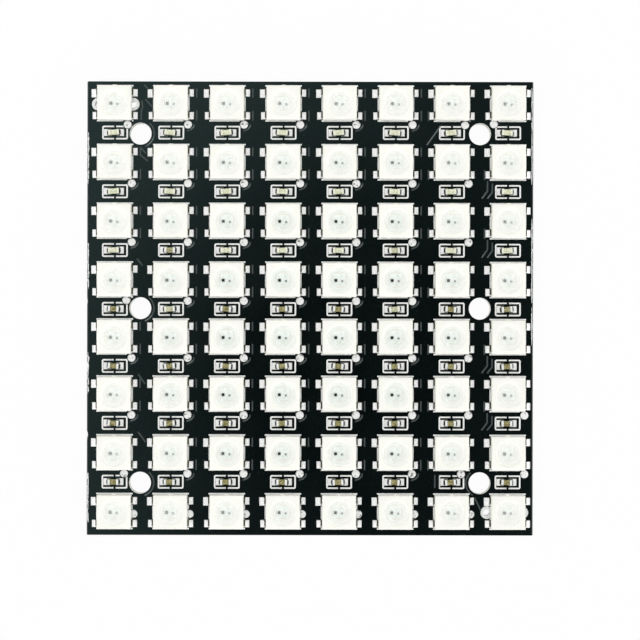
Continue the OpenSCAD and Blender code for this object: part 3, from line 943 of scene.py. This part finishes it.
class LEDPANEL_OT_chips(bpy.types.Operator):
    """Finishes the four chips in each LED"""

    bl_idname = "led_panel.chips"
    bl_label = "LED chips"

    def execute(self, context):
        paint(chip_finish("driver_silicon", (0.004, 0.005, 0.006), (0.012, 0.013, 0.015), 0.3, 0.15), "driver_chips")
        paint(chip_finish("red_chip", (0.22, 0.21, 0.21), (0.38, 0.36, 0.35), 0.4), "red_chips")
        clear = chip_finish("clear_chip", (0.84, 0.90, 0.86), (0.92, 0.95, 0.92), 0.3)
        paint(clear, "green_chips", "blue_chips")
        return {"FINISHED"}


class LEDPANEL_OT_resin(bpy.types.Operator):
    """Fills the cups with milky resin that sinks a little in the middle"""

    bl_idname = "led_panel.resin"
    bl_label = "LED resin"

    def execute(self, context):
        finish = resin_finish()
        for row in ROWS:
            obj = resin_row(row)
            finish_piece(obj, finish, "led_resin", f"led_resin_row_{row}")
        return {"FINISHED"}


def resin_row(row):
    """One cup of resin, turned on a lathe as it were, and repeated along the row."""
    centres, r, z0, z1 = GRID[row]
    c = centres[0]
    floor_r = r - (z1 - z0) * (0.6 / 2 / 0.85)
    # A hair inside the cup, so that no two faces share a place
    r, floor_r, z0 = r - 0.01 * MM, floor_r - 0.01 * MM, z0 + 0.005 * MM
    deselect()
    bpy.ops.mesh.primitive_cone_add(
        vertices=40, radius1=floor_r, radius2=r, depth=z1 - z0,
        location=(c.x, c.y, (z0 + z1) / 2), end_fill_type="NGON")
    obj = named(f"milky_resin_row_{row}")
    place_in_mesh(obj)
    edit(obj, "FACE", "DESELECT")
    choose(obj, "FACE", lambda f: f.normal.z > 0.9)
    sink = SIZES().meniscus
    for share, drop in ((0.06, 0.3), (0.12, 0.25), (0.25, 0.25), (0.5, 0.2)):
        bpy.ops.mesh.inset(thickness=r * share, depth=0)
        bpy.ops.transform.translate(value=(0, 0, -sink * drop))
    bpy.ops.mesh.poke()
    leave()
    modifier(obj, "ARRAY", count=8, use_relative_offset=False, use_constant_offset=True,
             constant_offset_displace=(STEP_X, 0, 0))
    smooth(obj, 50)
    return obj


class LEDPANEL_OT_joints(bpy.types.Operator):
    """Rounds the solder on the pads of the LEDs and of the capacitors"""

    bl_idname = "led_panel.joints"
    bl_label = "Solder joints"

    def execute(self, context):
        finish = solder_finish("bright_solder")
        # The capacitor joints get the painted shade at the chip ends
        solder_with_painted_shade = solder_finish("solder_painted_dark_at_chip_ends", 1.0)
        pairs = [(f"led_pads_row_{row}", f"solder_joints_row_{row}") for row in ROWS]
        for node, name in [*pairs, ("capacitor_pads", "capacitor_solder_joints")]:
            obj = copy_of(node, name)
            top = MASK_TOP + 0.002 * MM
            sharp_edges(obj, 30, lambda a, b: min(a.z, b.z) > top)
            bpy.ops.mesh.bevel(offset=SIZES().joint_round, segments=2, affect="EDGES", clamp_overlap=True)
            leave()
            smooth(obj, 50)
            finish_piece(obj, solder_with_painted_shade if node == "capacitor_pads" else finish, "solder", node)
        return {"FINISHED"}


class LEDPANEL_OT_capacitors(bpy.types.Operator):
    """Rounds the ceramic bodies and the tinned ends of the capacitors"""

    bl_idname = "led_panel.capacitors"
    bl_label = "Capacitors"

    def execute(self, context):
        ceramic = ceramic_finish()
        for row in CAP_ROWS:
            node = f"capacitor_bodies_row_{row}"
            obj = rounded_blocks(node, f"ceramic_bodies_row_{row}")
            finish_piece(obj, ceramic, "capacitor_ceramic", node)
        ends = rounded_blocks("capacitor_ends", "tinned_capacitor_ends")
        finish_piece(ends, cap_end_finish(), "capacitor_tin", "capacitor_ends")
        return {"FINISHED"}


def rounded_blocks(node, name):
    obj = copy_of(node, name)
    sharp_edges(obj, 30, lambda a, b: True)
    bpy.ops.mesh.bevel(offset=SIZES().chip_round, segments=2, affect="EDGES")
    leave()
    smooth(obj, 50)
    return obj


class LEDPANEL_OT_stage(bpy.types.Operator):
    """Sets the floor, the dome of light, the soft lamp and the camera"""

    bl_idname = "led_panel.stage"
    bl_label = "Stage"

    def execute(self, context):
        floor()
        dome()
        lamp()
        camera()
        context.scene.view_settings.view_transform = "Standard"
        return {"FINISHED"}


def floor():
    deselect()
    bpy.ops.mesh.primitive_plane_add(size=3, location=(0, 0, -0.00002))
    obj = named("floor")
    place_in_mesh(obj)
    f = Finish("pale_floor")
    p = f.mm()
    seen = f.node("ShaderNodeLightPath", out="Is Camera Ray")
    gloss = f.node("ShaderNodeLightPath", out="Is Glossy Ray")
    through = f.node("ShaderNodeLightPath", out="Is Transmission Ray")
    grain = f.noise(p, 0.02)
    lit = f.node("ShaderNodeBsdfDiffuse", {}, Color=f.mix(grain, (0.84, 0.84, 0.84), (0.86, 0.86, 0.86)))
    glow = f.node("ShaderNodeEmission", {}, Color=(1, 1, 1), Strength=1.0)
    share = (seen + gloss + through).clamp() * 0.95
    mixed = f.node("ShaderNodeMixShader", {}, share, lit, glow)
    f.output(mixed)
    obj.data.materials.append(f.material)


def dome():
    """A white dome, dark round the hole that the camera looks through."""
    world = bpy.data.worlds.new("light_dome")
    bpy.context.scene.world = world
    world.use_nodes = True
    f = Finish.__new__(Finish)
    f.tree, f.at = world.node_tree, 0
    f.tree.nodes.clear()
    way = f.node("ShaderNodeTexCoord", out="Generated")
    hole = Vector((0.008, -0.032, 1)).normalized()
    near = f.node("ShaderNodeVectorMath", {"operation": "DOT_PRODUCT"}, way, tuple(hole), out="Value")
    angle = near.math("ARCCOSINE", near) * (180 / math.pi)
    x, y, z = f.split(way)
    left = f.range(y * 0.4 - x, -0.06, 0.12, 0.28, 1.0)
    white = ((angle / 10.9) ** 2.0).clamp()
    ring = f.range(angle, 12.0, 30.0)
    low = 1 + f.range(angle, 45.0, 78.0) * (1.45 - y * 1.2 + x * 0.6)
    strength = white * (left * (1 - ring) + ring) * low * STAGE().dome
    seen = f.node("ShaderNodeLightPath", out="Is Camera Ray")
    strength = strength * (1 - seen) + seen
    back = f.node("ShaderNodeBackground", {}, Color=(1, 1, 1), Strength=strength)
    out = f.tree.nodes.new("ShaderNodeOutputWorld")
    f.tree.links.new(back.socket, out.inputs["Surface"])


def lamp():
    """A soft lamp at the upper left, beyond what the board mirrors to the camera."""
    deselect()
    spot = Vector((-0.35, 0.3, 0.42))
    bpy.ops.object.light_add(type="AREA", location=spot)
    obj = bpy.context.object
    obj.name = "soft_lamp"
    obj.rotation_euler = (-spot).to_track_quat("-Z", "Y").to_euler()
    obj.data.shape = "DISK"
    obj.data.size = 0.25
    obj.data.energy = STAGE().side


def camera():
    s = STAGE()
    deselect()
    bpy.ops.object.camera_add(location=(s.aim_x, s.aim_y, MASK_TOP + s.distance), rotation=(0, 0, s.turn))
    obj = bpy.context.object
    obj.name = "camera"
    obj.data.sensor_width = 36
    obj.data.lens = 36 * s.distance / s.view_width
    obj.data.clip_start = 0.01
    obj.data.clip_end = 20
    bpy.context.scene.camera = obj


OPERATORS = (
    LEDPANEL_OT_board, LEDPANEL_OT_edges, LEDPANEL_OT_holes, LEDPANEL_OT_prints,
    LEDPANEL_OT_housings, LEDPANEL_OT_leads, LEDPANEL_OT_chips, LEDPANEL_OT_resin,
    LEDPANEL_OT_joints, LEDPANEL_OT_capacitors, LEDPANEL_OT_stage,
)


class LEDPANEL_PT_sidebar(bpy.types.Panel):
    """Lists the steps that dress the panel"""

    bl_idname = "LEDPANEL_PT_sidebar"
    bl_label = "LED Panel"
    bl_space_type = "VIEW_3D"
    bl_region_type = "UI"
    bl_category = "LED Panel"

    def draw(self, context):
        for group in (LOOKS(), SIZES(), STAGE()):
            for key in group.bl_rna.properties.keys():
                if key not in ("name", "rna_type"):
                    self.layout.prop(group, key)
        for op in OPERATORS:
            self.layout.operator(op.bl_idname)


GROUPS = (LookSettings, SizeSettings, StageSettings)
CLASSES = (*GROUPS, *OPERATORS, LEDPANEL_PT_sidebar)


def register():
    for cls in CLASSES:
        bpy.utils.register_class(cls)
    bpy.types.Scene.led_panel_looks = PointerProperty(type=LookSettings)
    bpy.types.Scene.led_panel_sizes = PointerProperty(type=SizeSettings)
    bpy.types.Scene.led_panel_stage = PointerProperty(type=StageSettings)


def unregister():
    del bpy.types.Scene.led_panel_stage
    del bpy.types.Scene.led_panel_sizes
    del bpy.types.Scene.led_panel_looks
    for cls in reversed(CLASSES):
        bpy.utils.unregister_class(cls)


def main():
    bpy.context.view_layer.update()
    register()
    for op in OPERATORS:
        group, name = op.bl_idname.split(".")
        getattr(getattr(bpy.ops, group), name)()


if __name__ == "__main__":
    main()
